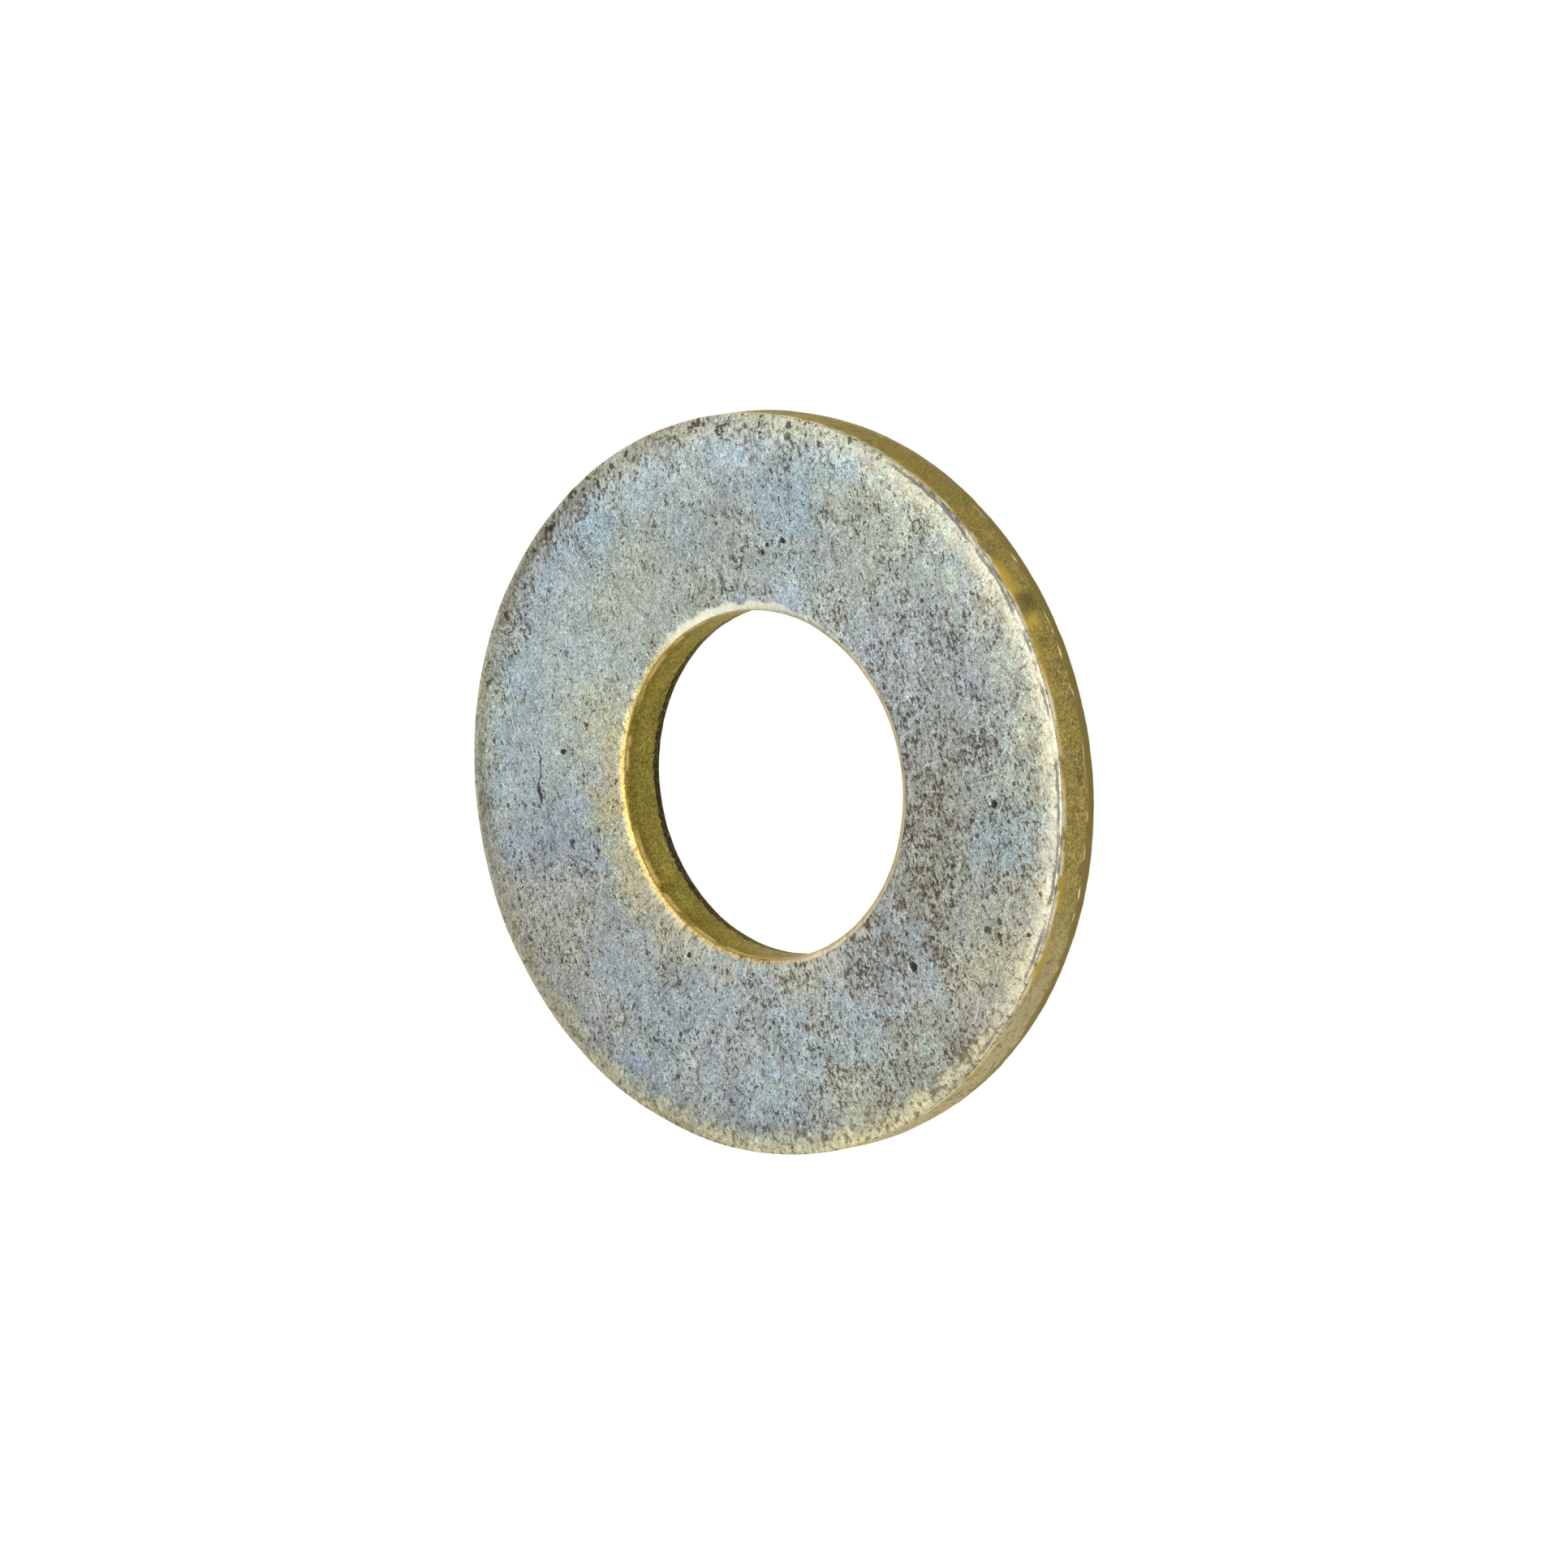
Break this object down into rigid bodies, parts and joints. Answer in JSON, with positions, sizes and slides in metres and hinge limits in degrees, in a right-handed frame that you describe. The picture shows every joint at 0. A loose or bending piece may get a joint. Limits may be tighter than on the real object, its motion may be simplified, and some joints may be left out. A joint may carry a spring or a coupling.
{
  "type": "flat washer",
  "caption": "Flat round steel washer with a central clearance hole, punched from strip and plated, to spread the load of a screw head or nut.",
  "frame": {"origin": "on the bore's axis, in the plane of the underside, so that the washer lies on the ground plane", "axes": "+Z along the bore's axis, out of the top face, whose edges are rolled over; the washer is turned about +Z, so +X and +Y are any two square directions across it"},
  "size_m": [0.018, 0.018, 0.0014],
  "materials": {
    "yellow_zinc": "satin zinc plating with a yellow chromate film: pale silver on the faces, olive gold on the cut walls"
  },
  "bodies": {
    "root": {"flat_washer": "yellow_zinc"}
  },
  "joints": []
}
